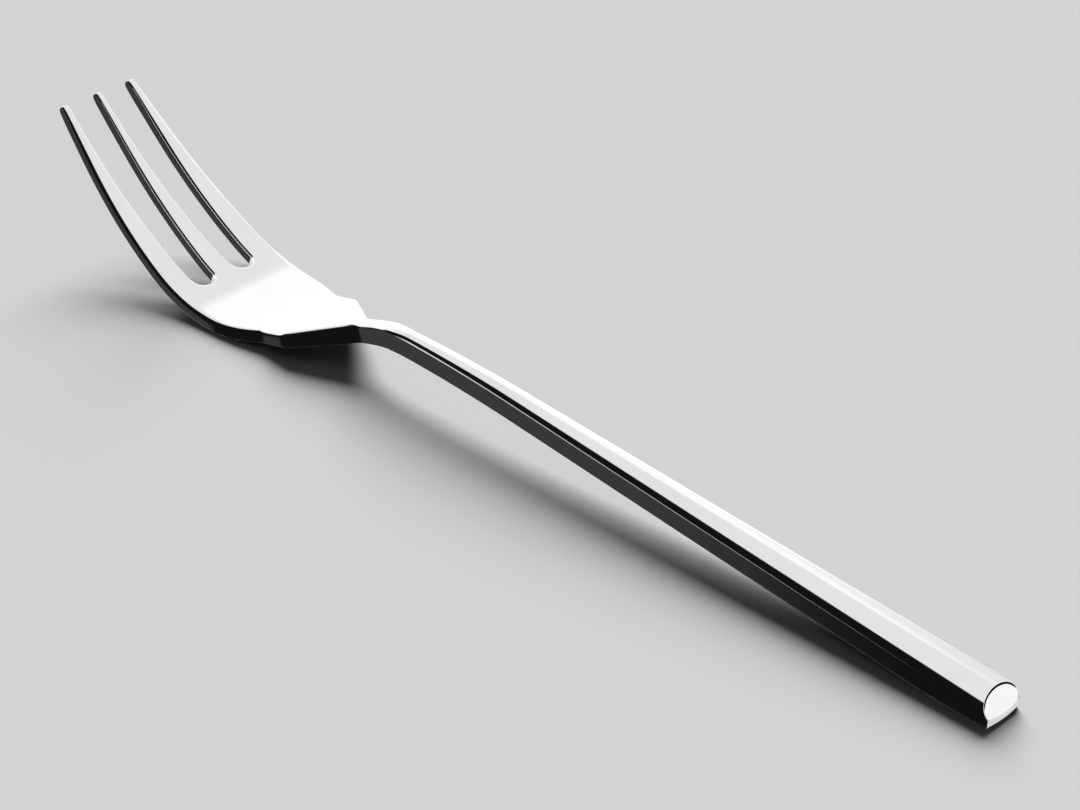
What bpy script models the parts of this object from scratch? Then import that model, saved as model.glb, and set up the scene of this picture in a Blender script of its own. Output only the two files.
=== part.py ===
"""Fish fork with a hollow handle: a bent three-tine head, its tang cemented into two pressed half-shells.

The fork lies on a table as it is laid down: +X points to the tine tips, +Z is up, Y runs across it.
Every piece follows one line, the spine, which is the upper edge of the fork seen from the side.
A place on the fork is given as (s, y, n): the distance along the spine from the handle end, the distance
across, and the height square to the spine.
"""

import math

import bmesh
import bpy
from mathutils import Matrix, Vector

MM = 0.001

# Side profile, from the handle end to the tips: the length of each run and how far it turns upwards
HANDLE_PITCH = math.radians(4.31)
HANDLE_RUN = 90.75 * MM
CREST_RUN = 24.4 * MM
CREST_TURN = math.radians(-4.5)
NECK_RUN = 11.2 * MM
NECK_TURN = math.radians(-18.1)
SHOULDER_RUN = 12.1 * MM
HEEL_RUN = 13.0 * MM
HEEL_TURN = math.radians(16.6)
BOWL_RUN = 15.0 * MM
BOWL_TURN = math.radians(29.0)
TINE_RUN = 22.4 * MM
TINE_TURN = math.radians(14.5)
TIP_RUN = 11.0 * MM
TIP_TURN = math.radians(1.0)

# Handle section: a dome above the seam and a square belly below it
END_WIDTH = 7.35 * MM
NECK_WIDTH = 2.95 * MM
END_DOME = 2.15 * MM
NECK_DOME = 0.7 * MM
END_BELLY = 3.05 * MM
NECK_BELLY = 3.25 * MM
END_LIFT = 0.75 * MM
LIFT_RUN = 15.0 * MM
BELLY_DRAFT = 0.12 * MM
BELLY_ROUND = 0.7 * MM

# Handle end: a slanted plate over a low, slightly bowed end wall
FACET_LEAN = math.radians(41.5)
FACET_DROP = 0.85 * MM
FACET_THICKNESS = 0.8 * MM
END_BOW = 0.35 * MM
END_ROUND = 0.9 * MM

# Handle shells, filling and tang
SHELL_WALL = 0.4 * MM
CLEARANCE = 0.3 * MM
JOINT_SETBACK = 7.0 * MM
TANG_LENGTH = 58.0 * MM
TANG_TIP_WIDTH = 0.9 * MM
TANG_THICKNESS = 1.8 * MM
TANG_SHOULDER = 0.25 * MM
FILLING_SETBACK = 5.0 * MM
FILLING_GRIP = 22.0 * MM

# Head blank: half-shapes are drawn flat and bent along the spine afterwards
HEAD_THICKNESS = 2.2 * MM
EDGE_ROUND = 0.35 * MM
SHOULDER_START = 0.9 * MM
SHOULDER_LENGTH = 10.8 * MM
SHOULDER_BULGE = 0.4 * MM
EAR_WIDTH = 16.0 * MM
EAR_LENGTH = 5.15 * MM
HEAD_WIDTH = 21.5 * MM
CHEEK_LENGTH = 11.5 * MM
TINE_SWEEP = 0.35
SLOT_ROOT_RADIUS = 1.95 * MM
SLOT_ROOT_OFFSET = 4.05 * MM
TINE_LENGTH = 39.1 * MM
MIDDLE_TIP_WIDTH = 0.85 * MM
OUTER_TIP_WIDTH = 1.05 * MM
OUTER_TIP_SPREAD = 6.8 * MM
TIP_ROUND = 0.6 * MM
TIP_THICKNESS = 1.5 * MM

# Cage of the head: columns across half of the blank, and how far subdivision draws a cage in
TOP_COLUMNS = (0.0, 0.17, 0.25, 0.39, 0.53, 0.61, 0.79)
TANG_CORNER = 0.9
RING_SWELL = 1.08
ROUND_LIMIT = 0.3

# Edges sharper than this stay crisp in the shading
SHARP_ANGLE = math.radians(35.0)

SPINE_RUNS = (
    (HANDLE_RUN, 0.0),
    (CREST_RUN, CREST_TURN),
    (NECK_RUN, NECK_TURN),
    (SHOULDER_RUN, 0.0),
    (HEEL_RUN, HEEL_TURN),
    (BOWL_RUN, BOWL_TURN),
    (TINE_RUN, TINE_TURN),
    (TIP_RUN, TIP_TURN),
)
BLANK_LENGTH = sum(length for length, turn in SPINE_RUNS)
JOINT = HANDLE_RUN + CREST_RUN + NECK_RUN - JOINT_SETBACK
SHOULDER = JOINT + JOINT_SETBACK + SHOULDER_START
EAR = SHOULDER + SHOULDER_LENGTH
KINK = EAR + EAR_LENGTH
WIDEST = KINK + CHEEK_LENGTH
SLOT_ROOT = BLANK_LENGTH - TINE_LENGTH
SLOT_CENTRE = SLOT_ROOT + SLOT_ROOT_RADIUS


def spine(s):
    """Position (x, z) and slope of the spine at a distance s from the handle end."""
    x, z, slope = 0.0, 0.0, HANDLE_PITCH
    left = s
    for index, (length, turn) in enumerate(SPINE_RUNS):
        last = index == len(SPINE_RUNS) - 1
        run = left if last else min(left, length)
        bend = turn / length * run
        if bend:
            x += run * (math.sin(slope + bend) - math.sin(slope)) / bend
            z += run * (math.cos(slope) - math.cos(slope + bend)) / bend
        else:
            x += run * math.cos(slope)
            z += run * math.sin(slope)
        slope += bend
        left -= run
        if left <= 0.0:
            break
    return x, z, slope


def place(s, y, n):
    """Position of a point given along the spine, across it and square to it."""
    x, z, slope = spine(s)
    return Vector((x - n * math.sin(slope), y, z + n * math.cos(slope)))


def blend(a, b, share):
    """Value between a and b, held at the ends."""
    return a + (b - a) * min(max(share, 0.0), 1.0)


def ease(a, b, share):
    """Value between a and b that leaves and arrives level."""
    share = min(max(share, 0.0), 1.0)
    return blend(a, b, share * share * (3.0 - 2.0 * share))


# Scene tree

def clear_scene():
    """Remove whatever the file holds before the fork is built."""
    for item in list(bpy.data.objects):
        bpy.data.objects.remove(item, do_unlink=True)


def new_collection(name):
    """Collection linked to the scene."""
    group = bpy.data.collections.new(name)
    bpy.context.scene.collection.children.link(group)
    return group


def new_material(name, colour, metallic, roughness):
    """Principled material of one finish."""
    material = bpy.data.materials.new(name)
    material.use_nodes = True
    shader = material.node_tree.nodes["Principled BSDF"]
    shader.inputs["Base Color"].default_value = (*colour, 1.0)
    shader.inputs["Metallic"].default_value = metallic
    shader.inputs["Roughness"].default_value = roughness
    material.diffuse_color = (*colour, 1.0)
    return material


def mesh_object(name, bm, group):
    """Object made from a bmesh, with its faces pointing out."""
    bmesh.ops.recalc_face_normals(bm, faces=bm.faces)
    mesh = bpy.data.meshes.new(name)
    bm.to_mesh(mesh)
    bm.free()
    item = bpy.data.objects.new(name, mesh)
    group.objects.link(item)
    return item


def evaluated_mesh(item):
    """Plain mesh of an object with its modifiers applied."""
    bpy.context.view_layer.update()
    graph = bpy.context.evaluated_depsgraph_get()
    return bpy.data.meshes.new_from_object(item.evaluated_get(graph))


def finish(item, material, root):
    """Give a part its material, smooth shading and its place under the fork."""
    item.data.materials.clear()
    item.data.materials.append(material)
    item.data.shade_smooth()
    item.data.set_sharp_from_angle(angle=SHARP_ANGLE)
    item.parent = root


def stand_at_origin(root, parts):
    """Move the fork so that it stands on Z = 0 with the middle of its box over the origin."""
    bpy.context.view_layer.update()
    graph = bpy.context.evaluated_depsgraph_get()
    corners = []
    for item in parts.objects:
        if item.type == "MESH":
            corners += [Vector(corner) for corner in item.evaluated_get(graph).bound_box]
    low = Vector([min(corner[axis] for corner in corners) for axis in range(3)])
    high = Vector([max(corner[axis] for corner in corners) for axis in range(3)])
    middle = (low + high) / 2
    root.location = (-middle.x, -middle.y, -low.z)


def cut(item, cutter, name):
    """Take a cutter's shape out of a part."""
    boolean = item.modifiers.new(name, "BOOLEAN")
    boolean.operation = "DIFFERENCE"
    boolean.object = cutter
    cutter.hide_render = True
    cutter.display_type = "WIRE"


def loft(bm, rows, close_across=False):
    """Faces between rows of vertices; each row has the same number of vertices."""
    for row, following in zip(rows, rows[1:]):
        count = len(row) if close_across else len(row) - 1
        for index in range(count):
            across = (index + 1) % len(row)
            bm.faces.new((row[index], row[across], following[across], following[index]))


def close_row(bm, row):
    """Close an open row with faces between each point and the one opposite it."""
    last = len(row) - 1
    for index in range(len(row) // 2 - 1):
        bm.faces.new((row[index], row[index + 1], row[last - index - 1], row[last - index]))


# Handle section

def handle_sizes(s):
    """Half-width, dome height and belly depth of the handle at a distance s."""
    share = s / JOINT
    half = blend(END_WIDTH, NECK_WIDTH, share) / 2
    lift = END_LIFT * max(0.0, 1.0 - max(s, 0.0) / LIFT_RUN) ** 2
    return half, blend(END_DOME, NECK_DOME, share), blend(END_BELLY, NECK_BELLY, share) - lift


def dome_outline(s, inset, foot, steps=12):
    """Dome across the handle, from one side to the other, starting a foot above the seam."""
    half, dome, _ = handle_sizes(s)
    half -= inset
    rise = dome - inset - foot
    angles = [math.pi * index / steps for index in range(steps + 1)]
    return [(half * math.cos(angle), foot + rise * math.sin(angle)) for angle in angles]


def belly_outline(s, inset, foot, steps=3):
    """Belly across the handle, from one side to the other, starting a foot below the seam."""
    half, _, belly = handle_sizes(s)
    half -= inset
    floor = belly - inset
    radius = max(BELLY_ROUND - inset, BELLY_ROUND / 4)
    corner = half - BELLY_DRAFT - radius
    side = [(half, -foot)]
    for index in range(steps + 1):
        angle = math.pi / 2 * index / steps
        side.append((corner + radius * math.cos(angle), -floor + radius * (1.0 - math.sin(angle))))
    return side + [(-y, n) for y, n in reversed(side)]


def handle_stations(start, stop):
    """Distances along the handle: sparse on the straight run, closer over the crest."""
    steps = 6
    marks = [LIFT_RUN / 3, LIFT_RUN * 2 / 3, LIFT_RUN, HANDLE_RUN / 2]
    marks += [HANDLE_RUN + (JOINT - HANDLE_RUN) * index / steps for index in range(steps + 1)]
    inside = [s for s in marks if start < s < stop]
    return [start] + inside + [stop]


def facet_distance(n, depth):
    """Distance along the spine of a plane parallel to the end facet, sunk into the handle by depth."""
    return (n + FACET_DROP) * math.tan(FACET_LEAN) + depth / math.cos(FACET_LEAN)


def end_bow(s, y):
    """How far the bowed end stands out at a distance y from the middle."""
    half = END_WIDTH / 2
    return END_BOW * max(0.0, 1.0 - (y / half) ** 2) * max(0.0, 1.0 - s / (END_ROUND * 4))


def facet_cutter(group):
    """Block that removes everything outside the plane of the end facet."""
    bm = bmesh.new()
    reach = END_WIDTH * 2
    bmesh.ops.create_cube(bm, size=2 * reach)
    cutter = mesh_object("end_plane", bm, group)
    slant = FACET_LEAN - HANDLE_PITCH
    outward = Vector((-math.cos(slant), 0.0, math.sin(slant)))
    middle = place(0.0, 0.0, -FACET_DROP) + outward * reach
    cutter.matrix_world = Matrix.Translation(middle) @ Matrix.Rotation(slant, 4, "Y")
    return cutter


def plate_slab(name, grow, outer_depth, inner_depth, group):
    """Slab with the end plate's outline, grown all round: a dome over a bowed lower edge."""
    outline = dome_outline(0.0, SHELL_WALL + CLEARANCE - grow, 0.0)
    half = outline[0][0]
    steps = 8
    for index in range(steps + 1):
        y = half * (2.0 * index / steps - 1.0)
        outline.append((y, -FACET_DROP - end_bow(0.0, y) / math.tan(FACET_LEAN) - grow))
    bm = bmesh.new()
    face_rows = []
    for depth in (outer_depth, inner_depth):
        face_rows.append([bm.verts.new(place(facet_distance(n, depth), y, n)) for y, n in outline])
    loft(bm, face_rows, close_across=True)
    for row in face_rows:
        bm.faces.new(row)
    return mesh_object(name, bm, group)


def build_top_shell(parts, cutters):
    """Domed upper half of the handle, open at the neck and along the slanted end."""
    bm = bmesh.new()
    rows = []
    for s in handle_stations(-END_DOME, JOINT - CLEARANCE):
        outside = dome_outline(s, 0.0, CLEARANCE / 2)
        inside = dome_outline(s, SHELL_WALL, CLEARANCE / 2)
        rows.append([bm.verts.new(place(s, y, n)) for y, n in outside + inside[::-1]])
    loft(bm, rows, close_across=True)
    close_row(bm, rows[0])
    close_row(bm, rows[-1])
    shell = mesh_object("handle_top_shell", bm, parts)
    cut(shell, facet_cutter(cutters), "slanted end")
    return shell


def orient_open_shell(item, outward):
    """Turn an open surface over if most of it faces the wrong way."""
    facing = sum(face.area * face.normal.dot(outward) for face in item.data.polygons)
    if facing < 0.0:
        item.data.flip_normals()


def build_bottom_shell(parts, cutters):
    """Pressed tray under the handle, closed by a bowed wall at the end and open at the neck."""
    bm = bmesh.new()
    rows = []
    turns = 3
    for index in range(turns, -1, -1):
        angle = math.pi / 2 * index / turns
        inset = END_ROUND * (1.0 - math.cos(angle))
        s = END_ROUND * (1.0 - math.sin(angle))
        outline = belly_outline(s, inset, CLEARANCE / 2)
        rows.append([bm.verts.new(place(s - end_bow(s, y), y, n)) for y, n in outline])
    for s in handle_stations(END_ROUND * 4, JOINT - CLEARANCE):
        outline = belly_outline(s, 0.0, CLEARANCE / 2)
        rows.append([bm.verts.new(place(s - end_bow(s, y), y, n)) for y, n in outline])
    loft(bm, rows)
    wall_row = rows[0]
    for index in range(len(wall_row) // 2 - 1):
        mirror = len(wall_row) - 1 - index
        bm.faces.new((wall_row[index], wall_row[index + 1], wall_row[mirror - 1], wall_row[mirror]))
    shell = mesh_object("handle_bottom_shell", bm, parts)
    orient_open_shell(shell, Vector((0.0, 0.0, -1.0)))
    wall = shell.modifiers.new("wall", "SOLIDIFY")
    wall.thickness = SHELL_WALL
    wall.offset = -1.0
    wall.use_even_offset = True
    cut(shell, facet_cutter(cutters), "slanted end")
    seat = plate_slab("plate_seat", CLEARANCE, -FACET_THICKNESS, FACET_THICKNESS + CLEARANCE, cutters)
    cut(shell, seat, "seat of the end plate")
    return shell


def build_end_plate(parts):
    """Slanted plate let into the end of the upper half, standing on the end wall of the lower half."""
    return plate_slab("handle_end_plate", 0.0, 0.0, FACET_THICKNESS, parts)


def tang_outline(s, grow):
    """Half-width, top and bottom of the tang at a distance s, grown by a clearance."""
    neck_half = NECK_WIDTH / 2 - SHELL_WALL - CLEARANCE
    share = (JOINT - s) / TANG_LENGTH
    half = blend(neck_half, TANG_TIP_WIDTH / 2, share) + grow
    middle = -(NECK_BELLY - NECK_DOME) / 2
    return half, middle + TANG_THICKNESS / 2 + grow, middle - TANG_THICKNESS / 2 - grow


def build_filling(parts, cutters):
    """Cement that fills the hollow handle and grips the end of the tang."""
    inset = SHELL_WALL + CLEARANCE
    stop = JOINT - TANG_LENGTH + FILLING_GRIP
    bm = bmesh.new()
    rows = []
    for s in handle_stations(FILLING_SETBACK, stop):
        dome = dome_outline(s, inset, CLEARANCE / 2)
        belly = belly_outline(s, inset, CLEARANCE / 2)
        outline = dome + [(-y, n) for y, n in belly]
        rows.append([bm.verts.new(place(s, y, n)) for y, n in outline])
    loft(bm, rows, close_across=True)
    bm.faces.new(rows[0])
    bm.faces.new(rows[-1])
    filling = mesh_object("handle_filling", bm, parts)
    socket = bmesh.new()
    rows = []
    for s in handle_stations(JOINT - TANG_LENGTH - CLEARANCE, JOINT):
        half, top, bottom = tang_outline(s, CLEARANCE)
        corners = ((half, top), (-half, top), (-half, bottom), (half, bottom))
        rows.append([socket.verts.new(place(s, y, n)) for y, n in corners])
    loft(socket, rows, close_across=True)
    socket.faces.new(rows[0])
    socket.faces.new(rows[-1])
    cut(filling, mesh_object("tang_socket", socket, cutters), "tang socket")
    return filling


# Head

def half_width(s):
    """Half-width of the blank, from the neck over the shoulders and ears to the tips."""
    neck = NECK_WIDTH / 2
    ear = EAR_WIDTH / 2
    if s < SHOULDER:
        return neck
    if s < EAR:
        share = (s - SHOULDER) / SHOULDER_LENGTH
        return blend(neck, ear, share) + SHOULDER_BULGE * 4.0 * share * (1.0 - share)
    if s < KINK:
        return ear
    if s < WIDEST:
        share = (s - KINK) / CHEEK_LENGTH
        return ear + (HEAD_WIDTH / 2 - ear) * (1.0 - (1.0 - share) ** 2)
    share = (s - WIDEST) / (BLANK_LENGTH - WIDEST)
    tip = OUTER_TIP_SPREAD + OUTER_TIP_WIDTH / 2
    sweep = (1.0 + TINE_SWEEP) * share ** 2 - TINE_SWEEP * share ** 3
    return HEAD_WIDTH / 2 - (HEAD_WIDTH / 2 - tip) * sweep


def slot_edges(s):
    """Inner and outer edge of a slot, measured across from the middle of the fork."""
    share = (s - SLOT_CENTRE) / (BLANK_LENGTH - SLOT_CENTRE)
    inner = blend(SLOT_ROOT_OFFSET - SLOT_ROOT_RADIUS, MIDDLE_TIP_WIDTH / 2, share)
    outer = blend(SLOT_ROOT_OFFSET + SLOT_ROOT_RADIUS, OUTER_TIP_SPREAD - OUTER_TIP_WIDTH / 2, share)
    return inner, outer


def blank_depth(s):
    """Thickness under the spine and dome above it, from the deep neck to the flat head."""
    thinned = (s - SHOULDER) / (KINK - SHOULDER)
    flattened = (s - JOINT) / (SHOULDER - JOINT)
    return ease(NECK_BELLY, HEAD_THICKNESS, thinned), ease(NECK_DOME, 0.0, flattened)


def body_row(s):
    """Half-outline of the blank at one distance: top from the middle out, side, bottom back in."""
    half = half_width(s)
    depth, dome = blank_depth(s)
    across = [share * (half - EDGE_ROUND) for share in TOP_COLUMNS] + [half - EDGE_ROUND]
    top = [(s, y, dome * math.sqrt(1.0 - (y / half) ** 2)) for y in across]
    side = [(s, half, -EDGE_ROUND), (s, half, EDGE_ROUND - depth)]
    return top + side + [(s, y, -depth) for y in reversed(across)]


def tang_row(s):
    """Half-outline of the tang, with as many points as the blank has."""
    half, top, bottom = tang_outline(s, 0.0)
    shares = list(TOP_COLUMNS) + [TANG_CORNER]
    upper = [(s, share * half, top) for share in shares]
    drop = (top - bottom) / 4
    side = [(s, half, top - drop), (s, half, bottom + drop)]
    return upper + side + [(s, share * half, bottom) for share in reversed(shares)]


def root_ring(radius, n):
    """Points round the closed end of a slot, from the middle tine to the outer tine."""
    steps = 4
    ring = []
    for index in range(steps + 1):
        angle = math.pi * index / steps
        reach = radius * (RING_SWELL if 0 < index < steps else 1.0)
        ring.append((SLOT_CENTRE - reach * math.sin(angle), SLOT_ROOT_OFFSET - reach * math.cos(angle), n))
    return ring


def root_row():
    """Half-outline of the blank where the slots begin: it runs round each slot's closed end."""
    half = half_width(SLOT_CENTRE)
    outer = slot_edges(SLOT_CENTRE)[1]
    middle = (outer + half) / 2
    rows = []
    for n in (0.0, -HEAD_THICKNESS):
        ring = root_ring(SLOT_ROOT_RADIUS + EDGE_ROUND, n)
        tail = [(SLOT_CENTRE, middle, n), (SLOT_CENTRE, half - EDGE_ROUND, n)]
        rows.append([(SLOT_CENTRE, 0.0, n)] + ring + tail)
    side = [(SLOT_CENTRE, half, -EDGE_ROUND), (SLOT_CENTRE, half, EDGE_ROUND - HEAD_THICKNESS)]
    return rows[0] + side + list(reversed(rows[1]))


def tine_rounding(width):
    """Edge rounding of a tine, limited by its width."""
    return min(EDGE_ROUND, width * ROUND_LIMIT)


def middle_tine_row(s, depth):
    """Half-outline of the middle tine, from its top middle round to its bottom middle."""
    edge = slot_edges(s)[0]
    rounding = tine_rounding(2 * edge)
    lift = (depth - HEAD_THICKNESS) / 2
    points = ((0.0, 0.0), (edge - rounding, 0.0), (edge, -rounding))
    upper = [(s, y, n + lift) for y, n in points]
    return upper + [(s, y, -HEAD_THICKNESS - n - lift) for y, n in reversed(points)]


def outer_tine_row(s, depth):
    """Full outline of an outer tine: top, outer side, bottom, slot side."""
    inner = slot_edges(s)[1]
    outer = half_width(s)
    rounding = tine_rounding(outer - inner)
    middle = (inner + outer) / 2
    lift = (depth - HEAD_THICKNESS) / 2
    top = [(inner + rounding, 0.0), (middle, 0.0), (outer - rounding, 0.0), (outer, -rounding)]
    upper = [(s, y, n + lift) for y, n in top]
    lower = [(s, y, -HEAD_THICKNESS - n - lift) for y, n in reversed(top)]
    slot_side = [(s, inner, rounding - HEAD_THICKNESS - lift), (s, inner, lift - rounding)]
    return upper + lower + slot_side


def tine_stations():
    """Distance and depth of each row along a tine; the last two rows round the tip off."""
    steps = 6
    run = BLANK_LENGTH - TIP_ROUND - SLOT_CENTRE
    rows = [(SLOT_CENTRE + run * index / steps, HEAD_THICKNESS) for index in range(1, steps + 1)]
    return rows + [(BLANK_LENGTH, TIP_THICKNESS)]


def body_stations():
    """Distances of the rows between the tang and the slots, closer where the outline turns."""
    step = EDGE_ROUND * 2
    cheek = (SLOT_ROOT - KINK) / 3
    marks = [JOINT, JOINT + step, SHOULDER - step * 3, SHOULDER, SHOULDER + step * 3]
    marks += [(SHOULDER + EAR) / 2, EAR - step, EAR, EAR + step, KINK - step, KINK, KINK + step]
    return marks + [KINK + cheek, KINK + cheek * 2]


def build_head(parts):
    """Stamped and bent head: tang, neck, shoulders with square ears, bowl and three tapered tines."""
    bm = bmesh.new()
    tang_marks = (JOINT - TANG_LENGTH, JOINT - TANG_LENGTH / 2, JOINT - TANG_SHOULDER, JOINT)
    flat_rows = [tang_row(s) for s in tang_marks] + [body_row(s) for s in body_stations()] + [root_row()]
    rows = [[bm.verts.new(point) for point in row] for row in flat_rows]
    loft(bm, rows)
    close_row(bm, rows[0])
    root = rows[-1]
    top_ring, bottom_ring = root[1:6], list(reversed(root[12:17]))
    upper_wall = [bm.verts.new(p) for p in root_ring(SLOT_ROOT_RADIUS, -EDGE_ROUND)]
    lower_wall = [bm.verts.new(p) for p in root_ring(SLOT_ROOT_RADIUS, EDGE_ROUND - HEAD_THICKNESS)]
    loft(bm, [top_ring, upper_wall, lower_wall, bottom_ring])
    middle = [root[0], root[1], upper_wall[0], lower_wall[0], root[16], root[17]]
    outer = root[5:8] + root[8:10] + root[10:13] + [lower_wall[4], upper_wall[4]]
    middle_rows, outer_rows = [middle], [outer]
    for s, depth in tine_stations():
        middle_rows.append([bm.verts.new(p) for p in middle_tine_row(s, depth)])
        outer_rows.append([bm.verts.new(p) for p in outer_tine_row(s, depth)])
    loft(bm, middle_rows)
    loft(bm, outer_rows, close_across=True)
    close_row(bm, middle_rows[-1])
    tip = outer_rows[-1]
    close_row(bm, [tip[9]] + tip[0:8] + [tip[8]])
    blank = mesh_object("blank", bm, parts)
    mirror = blank.modifiers.new("other half", "MIRROR")
    mirror.use_axis = (False, True, False)
    mirror.use_clip = True
    mirror.merge_threshold = 0.01 * MM
    smooth = blank.modifiers.new("rounding", "SUBSURF")
    smooth.levels = 1
    smooth.render_levels = 1
    mesh = evaluated_mesh(blank)
    bpy.data.objects.remove(blank, do_unlink=True)
    for vertex in mesh.vertices:
        vertex.co = place(*vertex.co)
    mesh.name = "fork_head"
    head = bpy.data.objects.new("fork_head", mesh)
    parts.objects.link(head)
    return head


def build_fork():
    """Build every part under one empty."""
    clear_scene()
    parts = new_collection("fish_fork")
    cutters = new_collection("cutters")
    root = bpy.data.objects.new("fish_fork_root", None)
    parts.objects.link(root)
    steel = new_material("polished_steel_head", (0.80, 0.80, 0.80), 1.0, 0.08)
    upper = new_material("polished_steel_upper_shell", (0.80, 0.80, 0.80), 1.0, 0.08)
    lower = new_material("polished_steel_lower_shell", (0.78, 0.78, 0.78), 1.0, 0.10)
    plate = new_material("polished_steel_end_plate", (0.82, 0.82, 0.82), 1.0, 0.07)
    cement = new_material("cement_filling", (0.42, 0.40, 0.37), 0.0, 0.85)
    finish(build_head(parts), steel, root)
    finish(build_top_shell(parts, cutters), upper, root)
    finish(build_bottom_shell(parts, cutters), lower, root)
    finish(build_end_plate(parts), plate, root)
    finish(build_filling(parts, cutters), cement, root)
    for cutter in cutters.objects:
        cutter.parent = root
    stand_at_origin(root, parts)


build_fork()
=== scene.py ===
"""Fish fork with a hollow handle, lying on a pale table in soft studio light."""

import math

import bmesh
import bpy
import numpy as np
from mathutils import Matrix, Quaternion, Vector


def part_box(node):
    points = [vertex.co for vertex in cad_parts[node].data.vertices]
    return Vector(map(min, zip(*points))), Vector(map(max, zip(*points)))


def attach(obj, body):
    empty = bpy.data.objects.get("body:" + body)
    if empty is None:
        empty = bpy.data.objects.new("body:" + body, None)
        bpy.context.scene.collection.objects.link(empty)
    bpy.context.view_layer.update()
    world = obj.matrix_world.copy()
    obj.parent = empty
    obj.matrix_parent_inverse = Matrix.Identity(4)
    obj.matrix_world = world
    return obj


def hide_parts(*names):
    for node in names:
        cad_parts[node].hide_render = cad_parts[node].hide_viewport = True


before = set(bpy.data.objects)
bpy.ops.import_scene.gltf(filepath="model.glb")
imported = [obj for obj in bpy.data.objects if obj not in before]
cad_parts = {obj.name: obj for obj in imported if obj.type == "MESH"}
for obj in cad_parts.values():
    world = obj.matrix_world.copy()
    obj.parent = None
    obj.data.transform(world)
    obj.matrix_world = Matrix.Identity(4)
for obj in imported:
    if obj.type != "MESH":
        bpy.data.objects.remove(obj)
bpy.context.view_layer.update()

# Fork head: one stamping of stainless steel, three tapered tines over a broad bowl with square ears.
# The real one is blanked flat, its neck left deep for stiffness, and then bent in a press. Here too the
# flat blank is drawn first, as (along, across, square to the sheet), and bent along the spine afterwards.
MM = 0.001

# Side profile from the handle end to the tips: length of each run and how far it turns upwards
HANDLE_PITCH = math.radians(4.31)
END_TRIM = 0.75 * MM
HANDLE_RUN = 90.75 * MM - END_TRIM
CREST_RUN, CREST_TURN = 24.4 * MM, math.radians(-4.5)
NECK_RUN, NECK_TURN = 11.2 * MM, math.radians(-18.1)
SHOULDER_RUN = 12.1 * MM
HEEL_RUN, HEEL_TURN = 13.0 * MM, math.radians(16.6)
BOWL_RUN, BOWL_TURN = 15.0 * MM, math.radians(29.0)
TINE_RUN, TINE_TURN = 22.4 * MM, math.radians(14.5)
TIP_RUN, TIP_TURN = 10.9 * MM, math.radians(1.0)
SPINE_RUNS = (
    (HANDLE_RUN, 0.0),
    (CREST_RUN, CREST_TURN),
    (NECK_RUN, NECK_TURN),
    (SHOULDER_RUN, 0.0),
    (HEEL_RUN, HEEL_TURN),
    (BOWL_RUN, BOWL_TURN),
    (TINE_RUN, TINE_TURN),
    (TIP_RUN, TIP_TURN),
)
SPINE_STEP, SPINE_LEAD, SPINE_EASE = 0.1 * MM, 6.0 * MM, 5.0 * MM
END_BOW, PLATE_FOOT = 0.35 * MM, 1.246 * MM

# Blank of the head: lengths of its stretches and where each begins, widths, depths and slots
BLANK_LENGTH = sum(length for length, turn in SPINE_RUNS)
JOINT_SETBACK, NECK_LENGTH, SHOULDER_LENGTH = 7.0 * MM, 7.9 * MM, 10.5 * MM
EAR_LENGTH, CHEEK_LENGTH, SLOT_LENGTH = 5.5 * MM, 11.5 * MM, 39.0 * MM
JOINT = HANDLE_RUN + CREST_RUN + NECK_RUN - JOINT_SETBACK
SHOULDER = JOINT + NECK_LENGTH
EAR = SHOULDER + SHOULDER_LENGTH
KINK = EAR + EAR_LENGTH
WIDEST = KINK + CHEEK_LENGTH
SLOT_ROOT = BLANK_LENGTH - SLOT_LENGTH
NECK_WIDTH, EAR_WIDTH, KINK_WIDTH, HEAD_WIDTH = 2.95 * MM, 15.9 * MM, 16.4 * MM, 21.43 * MM
NECK_DOME, NECK_BELLY = 0.7 * MM, 3.25 * MM
HEAD_THICKNESS, TIP_THICKNESS = 2.2 * MM, 1.5 * MM
CHEEK_SWELL, TINE_SWEEP = 2.5, 0.35
SLOT_RADIUS, SLOT_OFFSET = 1.95 * MM, 4.05 * MM
SLOT_CENTRE = SLOT_ROOT + SLOT_RADIUS
MIDDLE_TIP_WIDTH, OUTER_TIP_WIDTH, OUTER_TIP_SPREAD = 0.85 * MM, 1.05 * MM, 6.8 * MM
TIP_ROUND = 0.6 * MM
EDGE_ROUND, UNDER_ROUND = 0.5 * MM, 0.1 * MM
BELLY_DRAFT, NECK_FOOT = 0.12 * MM, 0.2 * MM
TANG_LENGTH, TANG_TIP_WIDTH, TANG_THICKNESS = 58.0 * MM, 0.9 * MM, 1.8 * MM
TANG_HALF, TANG_STEP = 0.775 * MM, 0.25 * MM

# Cage: points round a slot's closed end, and where a flat begins beside a rounded edge
RING_STEPS = 6
RING_SWELL = 1.045
FLAT_START = 2.2
ROUND_SHARE = 0.2

# Buffing marks along, across and square to the sheet: hairlines and the clouds of the wheel's pressure
HAIR_SIZE = (14.0 * MM, 0.25 * MM, 0.25 * MM)
CLOUD_SIZE = (9.0 * MM, 4.0 * MM, 4.0 * MM)


def blend(a, b, share):
    """Value between a and b, held at the ends."""
    return a + (b - a) * min(max(share, 0.0), 1.0)


def ease(a, b, share):
    """Value between a and b that leaves and arrives level."""
    share = min(max(share, 0.0), 1.0)
    return a + (b - a) * share * share * (3.0 - 2.0 * share)


def add(tree, kind, links=None, **settings):
    """Node of a tree with its settings; links gives each input a value or another node's output."""
    node = tree.nodes.new(kind)
    for name, value in settings.items():
        setattr(node, name, value)
    for name, value in (links or {}).items():
        if isinstance(value, bpy.types.NodeSocket):
            tree.links.new(value, node.inputs[name])
        else:
            node.inputs[name].default_value = value
    return node


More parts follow.
